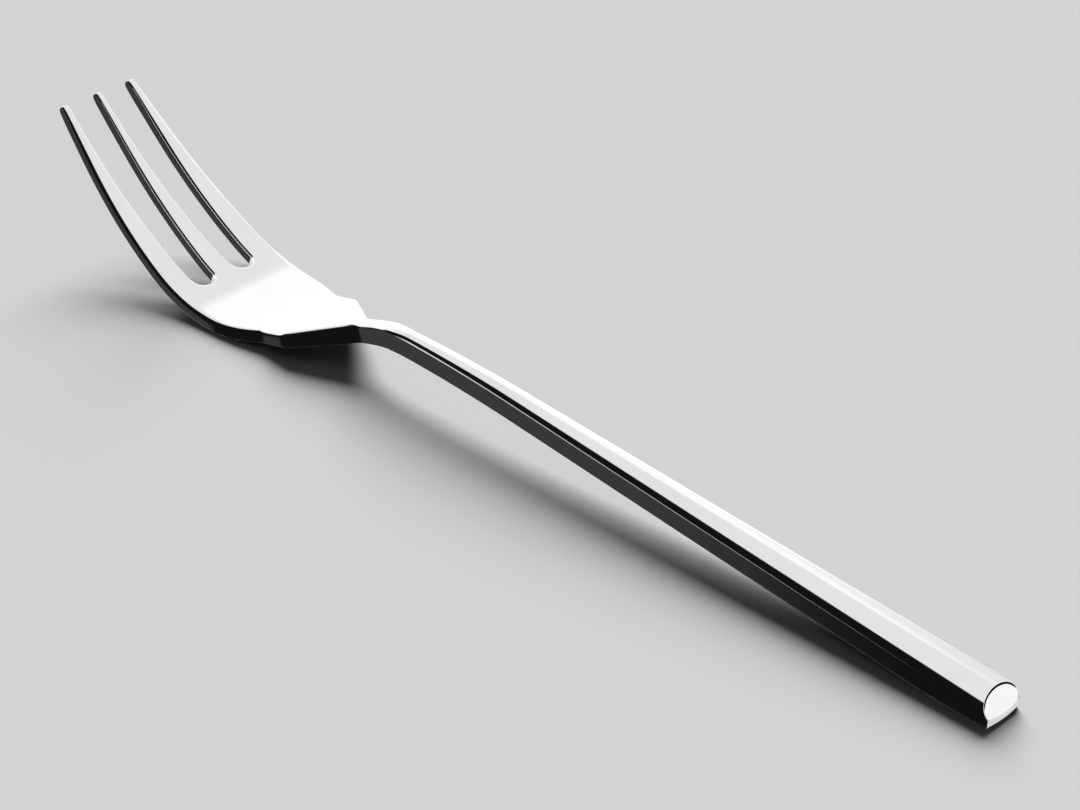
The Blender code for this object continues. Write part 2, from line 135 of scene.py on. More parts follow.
def colour(code):
    """Linear colour of an sRGB hex code."""
    parts = [int(code[index:index + 2], 16) / 255 for index in (1, 3, 5)]
    return [part / 12.92 if part <= 0.04045 else ((part + 0.055) / 1.055) ** 2.4 for part in parts] + [1.0]


def spine_start():
    """Where the spine begins, above the corners of the end wall.

    It is found from the lowest point of the solid end plate.
    """
    low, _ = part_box("handle_end_plate")
    along, square = -END_BOW - END_TRIM, -PLATE_FOOT
    x = low.x - along * math.cos(HANDLE_PITCH) + square * math.sin(HANDLE_PITCH)
    z = low.z - along * math.sin(HANDLE_PITCH) - square * math.cos(HANDLE_PITCH)
    return x, z


def spine_curve():
    """Side profile as a curve through close points, each bend eased into the next."""
    marks = np.cumsum([0.0] + [length for length, turn in SPINE_RUNS])
    slopes = HANDLE_PITCH + np.cumsum([0.0] + [turn for length, turn in SPINE_RUNS])
    s = np.arange(-SPINE_LEAD, BLANK_LENGTH + SPINE_LEAD, SPINE_STEP)
    window = np.hanning(round(SPINE_EASE / SPINE_STEP) | 1)
    padded = np.pad(np.interp(s, marks, slopes), len(window) // 2, mode="edge")
    slope = np.convolve(padded, window / window.sum(), mode="valid")
    turning = (slope[1:] + slope[:-1]) / 2
    x = np.cumsum(np.concatenate(([0.0], np.cos(turning)))) * SPINE_STEP
    z = np.cumsum(np.concatenate(([0.0], np.sin(turning)))) * SPINE_STEP
    first = round(SPINE_LEAD / SPINE_STEP)
    start_x, start_z = spine_start()
    points = np.zeros((len(s), 4))
    points[:, 0] = x - x[first] + start_x
    points[:, 2] = z - z[first] + start_z
    points[:, 3] = 1.0
    data = bpy.data.curves.new("spine", "CURVE")
    data.dimensions = "3D"
    line = data.splines.new("POLY")
    line.points.add(len(s) - 1)
    line.points.foreach_set("co", points.ravel())
    curve = bpy.data.objects.new("spine", data)
    bpy.context.scene.collection.objects.link(curve)
    return curve


def bending_tree():
    """Geometry nodes that bend a flat piece along the spine and keep its flat coordinates."""
    tree = bpy.data.node_groups.new("bend_along_spine", "GeometryNodeTree")
    tree.interface.new_socket("Geometry", in_out="OUTPUT", socket_type="NodeSocketGeometry")
    inputs = (("Geometry", "Geometry"), ("Spine", "Object"), ("Lead", "Float"), ("Finish", "Material"))
    for name, kind in inputs:
        tree.interface.new_socket(name, in_out="INPUT", socket_type="NodeSocket" + kind)
    given = add(tree, "NodeGroupInput")
    flat = add(tree, "GeometryNodeInputPosition")
    kept = add(tree, "GeometryNodeStoreNamedAttribute", {
        "Geometry": given.outputs["Geometry"], "Name": "blank", "Value": flat.outputs[0],
    }, data_type="FLOAT_VECTOR", domain="POINT")
    parts = add(tree, "ShaderNodeSeparateXYZ", {0: flat.outputs[0]})
    along = add(tree, "ShaderNodeMath", {0: parts.outputs["X"], 1: given.outputs["Lead"]}, operation="ADD")
    line = add(tree, "GeometryNodeObjectInfo", {"Object": given.outputs["Spine"]})
    spot = add(tree, "GeometryNodeSampleCurve", {
        "Curves": line.outputs["Geometry"], "Length": along.outputs[0],
    }, mode="LENGTH")
    square = add(tree, "ShaderNodeVectorMath", {
        0: spot.outputs["Tangent"], 1: (0.0, 1.0, 0.0),
    }, operation="CROSS_PRODUCT")
    raised = add(tree, "ShaderNodeVectorMath", {
        0: square.outputs[0], 1: parts.outputs["Z"], 2: spot.outputs["Position"],
    }, operation="MULTIPLY_ADD")
    across = add(tree, "ShaderNodeCombineXYZ", {"Y": parts.outputs["Y"]})
    bent = add(tree, "ShaderNodeVectorMath", {0: raised.outputs[0], 1: across.outputs[0]}, operation="ADD")
    moved = add(tree, "GeometryNodeSetPosition", {
        "Geometry": kept.outputs["Geometry"], "Position": bent.outputs[0],
    })
    real = add(tree, "GeometryNodeRealizeInstances", {"Geometry": moved.outputs["Geometry"]})
    coated = add(tree, "GeometryNodeSetMaterial", {
        "Geometry": real.outputs["Geometry"], "Material": given.outputs["Finish"],
    })
    add(tree, "NodeGroupOutput", {"Geometry": coated.outputs["Geometry"]})
    return tree


def flat_object(name, bm):
    """Object made from a bmesh, with its faces pointing out."""
    bmesh.ops.recalc_face_normals(bm, faces=bm.faces)
    mesh = bpy.data.meshes.new(name)
    bm.to_mesh(mesh)
    bm.free()
    item = bpy.data.objects.new(name, mesh)
    bpy.context.scene.collection.objects.link(item)
    return item


def applied_mesh(item):
    """Plain mesh of an object with its modifiers applied."""
    bpy.context.view_layer.update()
    graph = bpy.context.evaluated_depsgraph_get()
    shape = item.evaluated_get(graph)
    return bpy.data.meshes.new_from_object(shape, preserve_all_data_layers=True, depsgraph=graph)


def bent_piece(item, name, material, crisp):
    """Piece of the fork from a flat object: bent along the spine, smooth apart from its crisp edges."""
    bend = item.modifiers.new("bend", "NODES")
    bend.node_group = bend_along_spine
    given = {"Spine": spine, "Lead": SPINE_LEAD, "Finish": material}
    for socket in bend_along_spine.interface.items_tree:
        if socket.in_out == "INPUT" and socket.name in given:
            bend[socket.identifier] = given[socket.name]
    mesh = applied_mesh(item)
    bpy.data.objects.remove(item, do_unlink=True)
    mesh.name = name
    mesh.shade_smooth()
    mesh.set_sharp_from_angle(angle=crisp)
    piece = bpy.data.objects.new(name, mesh)
    bpy.context.scene.collection.objects.link(piece)
    return piece


def fix(piece, node):
    """Put a piece on the fork in the place of its CAD node."""
    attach(piece, "root")
    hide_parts(node)


def loft(bm, rows, close_across=False):
    """Faces between rows of vertices; each row has the same number of vertices."""
    for row, following in zip(rows, rows[1:]):
        count = len(row) if close_across else len(row) - 1
        for index in range(count):
            across = (index + 1) % len(row)
            bm.faces.new((row[index], row[across], following[across], following[index]))


def close_row(bm, row):
    """Close an open row with faces between each point and the one opposite it."""
    last = len(row) - 1
    for index in range(len(row) // 2 - 1):
        bm.faces.new((row[index], row[index + 1], row[last - index - 1], row[last - index]))


def half_width(s):
    """Half-width of the blank, from the neck over the shoulders and ears to the tips."""
    neck, ear, kink, widest = NECK_WIDTH / 2, EAR_WIDTH / 2, KINK_WIDTH / 2, HEAD_WIDTH / 2
    if s < EAR:
        return blend(neck, ear, (s - SHOULDER) / (EAR - SHOULDER))
    if s < KINK:
        return blend(ear, kink, (s - EAR) / (KINK - EAR))
    if s < WIDEST:
        left = 1.0 - (s - KINK) / (WIDEST - KINK)
        return blend(kink, widest, 1.0 - left ** CHEEK_SWELL)
    share = (s - WIDEST) / (BLANK_LENGTH - WIDEST)
    tip = OUTER_TIP_SPREAD + OUTER_TIP_WIDTH / 2
    return widest - (widest - tip) * ((1.0 + TINE_SWEEP) * share ** 2 - TINE_SWEEP * share ** 3)


def slot_edges(s):
    """Inner and outer edge of a slot, measured across from the middle of the fork."""
    share = (s - SLOT_CENTRE) / (BLANK_LENGTH - SLOT_CENTRE)
    inner = blend(SLOT_OFFSET - SLOT_RADIUS, MIDDLE_TIP_WIDTH / 2, share)
    outer = blend(SLOT_OFFSET + SLOT_RADIUS, OUTER_TIP_SPREAD - OUTER_TIP_WIDTH / 2, share)
    return inner, outer


def two_faces(depth):
    """Rounding, level and inward direction of the sheet's top and underside where it is this deep."""
    lift = (depth - HEAD_THICKNESS) / 2
    return (EDGE_ROUND, lift, -1.0), (UNDER_ROUND, -HEAD_THICKNESS - lift, 1.0)


def side_points(s, y, rounding, n, inward):
    """Points of the sheet's side where the rounding of its edge ends, and where it is surely flat."""
    return [(s, y, n + inward * rounding), (s, y, n + inward * FLAT_START * rounding)]


def root_ring(radius, n):
    """Points round the closed end of a slot, from the middle tine to the outer tine."""
    ring = []
    for index in range(RING_STEPS + 1):
        angle = math.pi * index / RING_STEPS
        reach = radius * (RING_SWELL if 0 < index < RING_STEPS else 1.0)
        ring.append((SLOT_CENTRE - reach * math.sin(angle), SLOT_OFFSET - reach * math.cos(angle), n))
    return ring


def root_row():
    """Half-outline of the blank where the slots begin: it runs round each slot's closed end."""
    half = half_width(SLOT_CENTRE)
    middle = (slot_edges(SLOT_CENTRE)[1] + half) / 2
    rows = []
    for rounding, n, inward in two_faces(HEAD_THICKNESS):
        ring = root_ring(SLOT_RADIUS + FLAT_START * rounding, n)
        tail = [(SLOT_CENTRE, y, n) for y in (middle, half - FLAT_START * rounding, half - rounding)]
        side = side_points(SLOT_CENTRE, half, rounding, n, inward)
        rows.append([(SLOT_CENTRE, 0.0, n)] + ring + tail + side)
    return rows[0] + rows[1][::-1]


def body_row(s):
    """Half-outline of the blank: top from the middle out, side, bottom back in; a dome at the neck."""
    half = half_width(s)
    depth = ease(NECK_BELLY, HEAD_THICKNESS, (s - SHOULDER) / (KINK - SHOULDER))
    flat = ease(0.0, 1.0, (s - JOINT) / (SHOULDER - JOINT))
    widths = [y for _, y, n in root_row()[:RING_STEPS + 4]]
    inside = half - FLAT_START * EDGE_ROUND
    across = [y / widths[-1] * inside for y in widths] + [half - EDGE_ROUND]
    foot = blend(NECK_FOOT, UNDER_ROUND, flat)
    drawn_in = blend(BELLY_DRAFT, 0.0, flat)
    top, bottom = [], []
    for index, y in enumerate(across):
        angle = math.pi / 2 * (1.0 - index / len(across))
        rise = blend(NECK_DOME * math.sin(angle), 0.0, flat)
        top.append((s, blend(half * math.cos(angle), y, flat), rise))
        bottom.append((s, y / across[-1] * (half - drawn_in - foot), -depth))
    side = [(s, half, -EDGE_ROUND * flat), (s, half, -FLAT_START * blend(NECK_FOOT, EDGE_ROUND, flat))]
    side += [(s, half - drawn_in, FLAT_START * foot - depth), (s, half - drawn_in, foot - depth)]
    return top + side + bottom[::-1]


def tang_row(s):
    """Half-outline of the tang, with as many points as the blank has."""
    count = len(body_row(JOINT)) // 2 - 2
    half = blend(TANG_HALF, TANG_TIP_WIDTH / 2, (JOINT - s) / TANG_LENGTH)
    middle = (NECK_DOME - NECK_BELLY) / 2
    upper = [(s, half * index / count, middle + TANG_THICKNESS / 2) for index in range(count)]
    side = [(s, half, middle + TANG_THICKNESS * share) for share in (0.3, 0.1, -0.1, -0.3)]
    return upper + side + [(s, y, 2 * middle - n) for s, y, n in upper[::-1]]


def middle_tine_row(s, depth):
    """Half-outline of the middle tine, from its top middle round to its bottom middle."""
    edge = slot_edges(s)[0]
    rows = []
    for most, n, inward in two_faces(depth):
        rounding = min(most, 2 * edge * ROUND_SHARE)
        across = (0.0, edge - FLAT_START * rounding, edge - rounding)
        rows.append([(s, y, n) for y in across] + side_points(s, edge, rounding, n, inward))
    return rows[0] + rows[1][::-1]


def outer_tine_row(s, depth):
    """Full outline of an outer tine: top, outer side, bottom, slot side."""
    inner, outer = slot_edges(s)[1], half_width(s)
    rows = []
    for most, n, inward in two_faces(depth):
        rounding = min(most, (outer - inner) * ROUND_SHARE)
        flat = FLAT_START * rounding
        across = (inner + rounding, inner + flat, (inner + outer) / 2, outer - flat, outer - rounding)
        sides = [side_points(s, y, rounding, n, inward) for y in (inner, outer)]
        rows.append(sides[0][::-1] + [(s, y, n) for y in across] + sides[1])
    return rows[0][2:] + rows[1][::-1] + rows[0][:2]


def body_stations():
    """Distances of the rows between the tang and the slots, closer where the outline turns."""
    soft, firm = 1.5 * MM, 0.8 * MM
    marks = [JOINT, JOINT + firm, (JOINT + SHOULDER) / 2, SHOULDER - soft, SHOULDER, SHOULDER + soft]
    marks += [(SHOULDER + EAR) / 2, EAR - firm, EAR, EAR + firm, KINK - firm, KINK, KINK + firm]
    return marks + [blend(KINK, SLOT_ROOT, share) for share in (1 / 3, 2 / 3)]


def tine_stations():
    """Distance and depth of each row along a tine; the last rows round the tip off."""
    steps = 7
    run = BLANK_LENGTH - TIP_ROUND - SLOT_CENTRE
    rows = [(SLOT_CENTRE + run * index / steps, HEAD_THICKNESS) for index in range(1, steps + 1)]
    return rows + [(BLANK_LENGTH, TIP_THICKNESS)]


def flat_head():
    """Flat blank: half of its cage, mirrored and rounded by subdivision."""
    bm = bmesh.new()
    tang_marks = (JOINT - TANG_LENGTH, JOINT - TANG_STEP, JOINT)
    flat_rows = [tang_row(s) for s in tang_marks] + [body_row(s) for s in body_stations()] + [root_row()]
    rows = [[bm.verts.new(point) for point in row] for row in flat_rows]
    loft(bm, rows)
    close_row(bm, rows[0])
    root = rows[-1]
    last = len(root) - 1
    ring = range(1, RING_STEPS + 2)
    rings = [[root[index] for index in ring]]
    for radius, n in (
        (SLOT_RADIUS + EDGE_ROUND, 0.0),
        (SLOT_RADIUS, -EDGE_ROUND),
        (SLOT_RADIUS, -FLAT_START * EDGE_ROUND),
        (SLOT_RADIUS, FLAT_START * UNDER_ROUND - HEAD_THICKNESS),
        (SLOT_RADIUS, UNDER_ROUND - HEAD_THICKNESS),
        (SLOT_RADIUS + UNDER_ROUND, -HEAD_THICKNESS),
    ):
        rings.append([bm.verts.new(point) for point in root_ring(radius, n)])
    rings.append([root[last - index] for index in ring])
    loft(bm, rings)
    middle_rows = [[root[0]] + [points[0] for points in rings] + [root[last]]]
    around = [points[-1] for points in rings]
    beyond = root[RING_STEPS + 2:last - RING_STEPS - 1]
    outer_rows = [[around[1], around[0]] + beyond + around[:1:-1]]
    for s, depth in tine_stations():
        middle_rows.append([bm.verts.new(point) for point in middle_tine_row(s, depth)])
        outer_rows.append([bm.verts.new(point) for point in outer_tine_row(s, depth)])
    loft(bm, middle_rows)
    loft(bm, outer_rows, close_across=True)
    close_row(bm, middle_rows[-1])
    tip = outer_rows[-1]
    close_row(bm, tip[-2:] + tip[:-2])
    crease = bm.edges.layers.float.new("crease_edge")
    neck = set(rows[len(tang_marks)])
    for edge in bm.edges:
        if neck.issuperset(edge.verts):
            edge[crease] = 1.0
    blank = flat_object("head_blank", bm)
    mirror = blank.modifiers.new("other half", "MIRROR")
    mirror.use_axis = (False, True, False)
    mirror.use_clip = True
    mirror.merge_threshold = 0.002 * MM
    rounded = blank.modifiers.new("rounding", "SUBSURF")
    rounded.levels = rounded.render_levels = 3
    return blank


def polished_steel(name, light, dark, gloss, haze):
    """Stainless steel, buffed to a mirror along the fork.

    Buffing leaves hairlines along the piece, too fine to see one by one, and soft clouds where the wheel
    pressed harder. The reflection stays sharp, slightly drawn out and uneven.
    """
    material = bpy.data.materials.new(name)
    material.use_nodes = True
    tree = material.node_tree
    tree.nodes.clear()
    blank = add(tree, "ShaderNodeAttribute", attribute_name="blank")
    stretched = add(tree, "ShaderNodeMapping", {
        "Vector": blank.outputs["Vector"], "Scale": [1 / size for size in HAIR_SIZE],
    })
    hairs = add(tree, "ShaderNodeTexNoise", {"Vector": stretched.outputs[0], "Scale": 1.0, "Detail": 3.0})
    clouded = add(tree, "ShaderNodeMapping", {
        "Vector": blank.outputs["Vector"], "Scale": [1 / size for size in CLOUD_SIZE],
    })
    clouds = add(tree, "ShaderNodeTexNoise", {"Vector": clouded.outputs[0], "Scale": 1.0, "Detail": 2.0})
    both = add(tree, "ShaderNodeMath", {
        0: hairs.outputs["Fac"], 1: clouds.outputs["Fac"],
    }, operation="MULTIPLY")
    rough = add(tree, "ShaderNodeMapRange", {
        "Value": both.outputs[0], "From Min": 0.12, "From Max": 0.42, "To Min": gloss, "To Max": haze,
    })
    tint = add(tree, "ShaderNodeMix", {
        "Factor": clouds.outputs["Fac"], "A": colour(dark), "B": colour(light),
    }, data_type="RGBA")
    bump = add(tree, "ShaderNodeBump", {
        "Height": hairs.outputs["Fac"], "Strength": 0.04, "Distance": 0.002 * MM,
    })
    shader = add(tree, "ShaderNodeBsdfPrincipled", {
        "Base Color": tint.outputs["Result"], "Metallic": 1.0,
        "Roughness": rough.outputs[0], "Normal": bump.outputs[0],
    })
    add(tree, "ShaderNodeOutputMaterial", {"Surface": shader.outputs[0]})
    return material


spine = spine_curve()
bend_along_spine = bending_tree()
head_steel = polished_steel("stamped_and_buffed_stainless_steel", "#E0E0E0", "#D8D8D8", 0.05, 0.10)
fork_head = bent_piece(flat_head(), "stamped_head", head_steel, math.radians(50.0))
fix(fork_head, "fork_head")

# Lower half of the handle: a tray pressed from thin stainless sheet, with a bowed wall at its end.
# It is soldered to the upper half along the seam, where its rim stands a hair proud and catches light.
FACET_LEAN, FACET_DROP = math.radians(32.3), 0.85 * MM
END_WIDTH, END_DOME, END_BELLY = 7.35 * MM, 2.15 * MM, 3.05 * MM
END_LIFT, LIFT_RUN = 0.75 * MM, 15.0 * MM
END_PINCH, PINCH_RUN = 0.12 * MM, 2.6 * MM
END_ROUND, BELLY_ROUND = 0.2 * MM, 0.25 * MM
BOW_RUN = 4 * END_ROUND
SHELL_WALL = 0.4 * MM
LIP_WALL, LIP_TAPER = 0.05 * MM, 0.7 * MM
HAIRLINE = 0.02 * MM

# Rows of points: across the end wall, close ones by the end, the rest of the handle, and each flank
END_STEPS = 24
END_ZONE, END_STEP, HANDLE_ROWS = 5.0 * MM, 0.25 * MM, 115
FLANK_STEPS, FLANK_SHARE = 10, 0.9


def handle_sizes(s):
    """Half-width, dome height and belly depth of the handle at a distance s."""
    share = s / JOINT
    half = (END_WIDTH + (NECK_WIDTH - END_WIDTH) * share) / 2
    half -= END_PINCH * max(0.0, 1.0 - max(s, 0.0) / PINCH_RUN) ** 2
    belly = END_BELLY + (NECK_BELLY - END_BELLY) * share
    lift = END_LIFT * max(0.0, 1.0 - max(s, 0.0) / LIFT_RUN) ** 2
    return half, END_DOME + (NECK_DOME - END_DOME) * share, belly - lift


def end_bow(s, y):
    """How far the bowed end stands out at a distance y from the middle."""
    return END_BOW * max(0.0, 1.0 - (2 * y / END_WIDTH) ** 2) * max(0.0, 1.0 - s / BOW_RUN)


def belly_outline(s, inset):
    """Belly across the handle from one side to the other: flanks, round corners and a flat underside."""
    half, _, belly = handle_sizes(s)
    radius = max(BELLY_ROUND - inset, BELLY_ROUND / 4)
    corner = half - inset - BELLY_DRAFT - radius
    flank = belly - inset - radius
    shares = np.linspace(0.0, FLANK_SHARE, FLANK_STEPS)
    side = [(half - inset - BELLY_DRAFT * share, -flank * share) for share in shares]
    for index in range(FLANK_STEPS + 1):
        angle = math.pi / 2 * index / FLANK_STEPS
        side.append((corner + radius * math.cos(angle), inset - belly + radius * (1.0 - math.sin(angle))))
    return side + [(-y, n) for y, n in side[::-1]]


def handle_stations(start, stop):
    """Distances along the handle: close at the end, then about every millimetre."""
    close = np.arange(start, END_ZONE, END_STEP)
    return list(close) + list(np.linspace(END_ZONE, stop, HANDLE_ROWS))


def cut_at_facet(item):
    """Cut a flat piece off along the plane of the end facet and close it there."""
    bm = bmesh.new()
    bm.from_mesh(item.data)
    outward = Vector((-math.cos(FACET_LEAN), 0.0, math.sin(FACET_LEAN)))
    everything = bm.verts[:] + bm.edges[:] + bm.faces[:]
    cut = bmesh.ops.bisect_plane(
        bm, geom=everything, plane_co=(0.0, 0.0, -FACET_DROP), plane_no=outward, clear_outer=True,
    )
    rim = [part for part in cut["geom_cut"] if isinstance(part, bmesh.types.BMEdge)]
    bmesh.ops.edgeloop_fill(bm, edges=rim)
    bmesh.ops.recalc_face_normals(bm, faces=bm.faces)
    bm.to_mesh(item.data)
    bm.free()


def shell_wall(s, n):
    """Thickness of a half of the handle: thin at the lip round the end plate, full behind it."""
    depth = s * math.cos(FACET_LEAN) - (n + FACET_DROP) * math.sin(FACET_LEAN)
    return ease(LIP_WALL, SHELL_WALL, depth / LIP_TAPER)


def flat_lower_half():
    """Tray of the lower half, drawn flat as a sheet and given its wall."""
    bm = bmesh.new()
    rows = []
    turns = 6
    for index in range(turns, -1, -1):
        angle = math.pi / 2 * index / turns
        inset = END_ROUND * (1.0 - math.cos(angle))
        s = END_ROUND * (1.0 - math.sin(angle))
        rows.append([bm.verts.new((s - end_bow(s, y), y, n)) for y, n in belly_outline(s, inset)])
    for s in handle_stations(END_ROUND + END_STEP, JOINT - HAIRLINE):
        rows.append([bm.verts.new((s - end_bow(s, y), y, n)) for y, n in belly_outline(s, 0.0)])
    loft(bm, rows)
    edge = rows[0]
    wall_rows = []
    for index in range(len(edge) // 2):
        opposite = edge[len(edge) - 1 - index]
        inner = []
        for step in range(1, END_STEPS):
            y = edge[index].co.y * (1.0 - 2.0 * step / END_STEPS)
            inner.append(bm.verts.new((-end_bow(0.0, y), y, edge[index].co.z)))
        wall_rows.append([edge[index]] + inner + [opposite])
    loft(bm, wall_rows)
    sheet = flat_object("lower_sheet", bm)
    facing = sum(face.area * face.normal.z for face in sheet.data.polygons)
    if facing > 0.0:
        sheet.data.flip_normals()
    lip = sheet.vertex_groups.new(name="lip")
    for vert in sheet.data.vertices:
        lip.add([vert.index], shell_wall(vert.co.x, vert.co.z) / SHELL_WALL, "REPLACE")
    wall = sheet.modifiers.new("wall", "SOLIDIFY")
    wall.thickness = SHELL_WALL
    wall.vertex_group = lip.name
    wall.offset = -1.0
    wall.use_even_offset = True
    sheet.data = applied_mesh(sheet)
    sheet.modifiers.clear()
    cut_at_facet(sheet)
    return sheet


lower_steel = polished_steel("pressed_and_buffed_stainless_steel", "#DFDFDF", "#D6D6D6", 0.06, 0.11)
lower_half = bent_piece(flat_lower_half(), "lower_half_shell", lower_steel, math.radians(30.0))
fix(lower_half, "handle_bottom_shell")

# Filling: cement run into the hollow handle round the tang. It gives the handle its weight and holds the
# head. It is out of sight, so the CAD solid stays, with a grainy grey cement on it.
GRAIN_SIZE, PATCH_SIZE = 0.5 * MM, 4.0 * MM


def hard_cement(name):
    """Set cement: matt grey, rough with sand grains and paler in patches where it dried."""
    material = bpy.data.materials.new(name)
    material.use_nodes = True
    tree = material.node_tree
    tree.nodes.clear()
    where = add(tree, "ShaderNodeTexCoord")
    grain = add(tree, "ShaderNodeTexVoronoi", {"Vector": where.outputs["Object"], "Scale": 1 / GRAIN_SIZE})
    clouds = add(tree, "ShaderNodeTexNoise", {"Vector": where.outputs["Object"], "Scale": 1 / PATCH_SIZE})
    tint = add(tree, "ShaderNodeMix", {
        "Factor": clouds.outputs["Fac"], "A": colour("#8E8A83"), "B": colour("#B5B0A8"),
    }, data_type="RGBA")
    rough = add(tree, "ShaderNodeMapRange", {
        "Value": grain.outputs["Distance"], "To Min": 0.95, "To Max": 0.8,
    })
    bump = add(tree, "ShaderNodeBump", {
        "Height": grain.outputs["Distance"], "Strength": 0.4, "Distance": 0.1 * MM,
    })
    shader = add(tree, "ShaderNodeBsdfPrincipled", {
        "Base Color": tint.outputs["Result"], "Roughness": rough.outputs[0], "Normal": bump.outputs[0],
    })
    add(tree, "ShaderNodeOutputMaterial", {"Surface": shader.outputs[0]})
    return material


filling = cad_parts["handle_filling"]
filling.data.materials.clear()
filling.data.materials.append(hard_cement("hard_cement"))

# Upper half of the handle: a low dome pressed from the same sheet, soldered on the rim of the lower half
# and a little narrower than that rim. At its end it is cut off at a slant, and its edge is thinned to a lip
# round the end plate.
SEAM_LEDGE, LEDGE_GROWTH, LEDGE_FADE = 0.3 * MM, 1.2, 5.0 * MM
DOME_STEPS = 56


def seam_ledge(s):
    """Width of the lower half's rim beside the upper half: nothing at the end, widest before the neck."""
    return SEAM_LEDGE * (max(s, 0.0) / JOINT) ** LEDGE_GROWTH * ease(0.0, 1.0, (JOINT - s) / LEDGE_FADE)


def flat_upper_half():
    """Dome of the upper half, drawn flat with its inner face."""
    bm = bmesh.new()
    rows = []
    for s in handle_stations(-END_DOME, JOINT - HAIRLINE):
        half, dome, _ = handle_sizes(s)
        half -= seam_ledge(s)
        outside, inside = [], []
        for index in range(DOME_STEPS + 1):
            angle = math.pi * index / DOME_STEPS
            across, up = math.cos(angle), math.sin(angle)
            wall = shell_wall(s, dome * up)
            outside.append((s, half * across, HAIRLINE + (dome - HAIRLINE) * up))
            inside.append((s, (half - wall) * across, HAIRLINE + (dome - HAIRLINE - wall) * up))
        rows.append([bm.verts.new(point) for point in outside + inside[::-1]])
    loft(bm, rows, close_across=True)
    close_row(bm, rows[0])
    close_row(bm, rows[-1])
    sheet = flat_object("upper_sheet", bm)
    cut_at_facet(sheet)
    return sheet


upper_steel = polished_steel("drawn_and_buffed_stainless_steel", "#E0E0E0", "#D8D8D8", 0.05, 0.10)
upper_half = bent_piece(flat_upper_half(), "upper_half_shell", upper_steel, math.radians(30.0))
fix(upper_half, "handle_top_shell")

# End plate: a slanted plate that closes the handle, let into the lip of the upper half and standing on
# the end wall of the lower half. A fine open joint runs round it under the lip.
PLATE_JOINT, JOINT_FADE = 0.28 * MM, 0.5
PLATE_THICKNESS = 0.8 * MM
PLATE_BEVEL = 0.05 * MM


def plate_outline():
    """Outline of the plate: a dome under the lip, short sides and a lower edge bowed like the end wall."""
    outline = []
    for index in range(DOME_STEPS + 1):
        angle = math.pi * index / DOME_STEPS
        half, dome, _ = handle_sizes((END_DOME * math.sin(angle) + FACET_DROP) * math.tan(FACET_LEAN))
        inset = LIP_WALL + ease(HAIRLINE, PLATE_JOINT, math.sin(angle) / JOINT_FADE)
        outline.append(((half - inset) * math.cos(angle), (dome - inset) * math.sin(angle)))
    side = outline[0][0] - BELLY_DRAFT / 2
    corner = END_ROUND / math.tan(FACET_LEAN) - FACET_DROP
    lower = []
    for index in range(END_STEPS + 1):
        y = (side - END_ROUND) * (2.0 * index / END_STEPS - 1.0)
        lower.append((y, (LIP_WALL + HAIRLINE - end_bow(0.0, y)) / math.tan(FACET_LEAN) - FACET_DROP))
    return outline + [(-side, corner)] + lower + [(side, corner)]


def flat_end_plate():
    """Plate drawn in the slant of the facet, its front edge broken."""
    outline = plate_outline()
    bm = bmesh.new()
    rows = []
    for depth in (0.0, PLATE_THICKNESS):
        inward = (depth * math.cos(FACET_LEAN), -depth * math.sin(FACET_LEAN))
        slant = [((n + FACET_DROP) * math.tan(FACET_LEAN), y, n) for y, n in outline]
        rows.append([bm.verts.new((s + inward[0], y, n + inward[1])) for s, y, n in slant])
    loft(bm, rows, close_across=True)
    for row in rows:
        bm.faces.new(row)
    front = set(rows[0])
    edges = [edge for edge in bm.edges if front.issuperset(edge.verts)]
    bmesh.ops.bevel(bm, geom=edges, offset=PLATE_BEVEL, segments=2, profile=0.5, affect="EDGES")
    return flat_object("plate_sheet", bm)


plate_steel = polished_steel("lapped_stainless_steel", "#E2E2E2", "#DADADA", 0.04, 0.08)
end_plate = bent_piece(flat_end_plate(), "slanted_end_plate", plate_steel, math.radians(15.0))
fix(end_plate, "handle_end_plate")
bpy.data.objects.remove(spine, do_unlink=True)

# Table: a large plain sheet of pale matt board. The steel doesn't mirror it, but a table that is drawn with
# the studio and has shade on it, so that the table itself can be pale from every side.
TABLE_SIZE = 6.0


def matt_board(name):
    """Pale coated board: no gloss and no grain, so that it shows only the fork's soft shadow."""
    material = bpy.data.materials.new(name)
    material.use_nodes = True
    tree = material.node_tree
    tree.nodes.clear()
    shader = add(tree, "ShaderNodeBsdfPrincipled", {
        "Base Color": colour("#D6D6D6"), "Roughness": 0.8, "Specular IOR Level": 0.0,
    })
    add(tree, "ShaderNodeOutputMaterial", {"Surface": shader.outputs[0]})
    return material


bm = bmesh.new()
bmesh.ops.create_grid(bm, x_segments=2, y_segments=2, size=TABLE_SIZE / 2)
table = flat_object("table", bm)
table.data.materials.append(matt_board("matt_coated_board"))
table.visible_glossy = False

# Studio: a pale room with white screens beyond the fork and black cloths on its near side, which give the
# steel its bright faces and its dark lines. Two soft lamps light the table and cast the fork's shadow.
# Bearings are counted from the tines round to the near side, and heights from the level, both in degrees.
ROOM_LEVEL, SCREEN_LEVEL, CLOTH_LEVEL, TABLE_LEVEL, SHADE_LEVEL = 1.07, 1.36, 0.008, 0.9, 0.055
world = bpy.data.worlds.new("studio")
bpy.context.scene.world = world
world.use_nodes = True
room = world.node_tree
room.nodes.clear()
where = add(room, "ShaderNodeTexCoord")
parts = add(room, "ShaderNodeSeparateXYZ", {0: where.outputs["Generated"]})
bearing = add(room, "ShaderNodeMath", {0: parts.outputs["Y"], 1: parts.outputs["X"]}, operation="ARCTAN2")
height = add(room, "ShaderNodeMath", {0: parts.outputs["Z"]}, operation="ARCSINE")


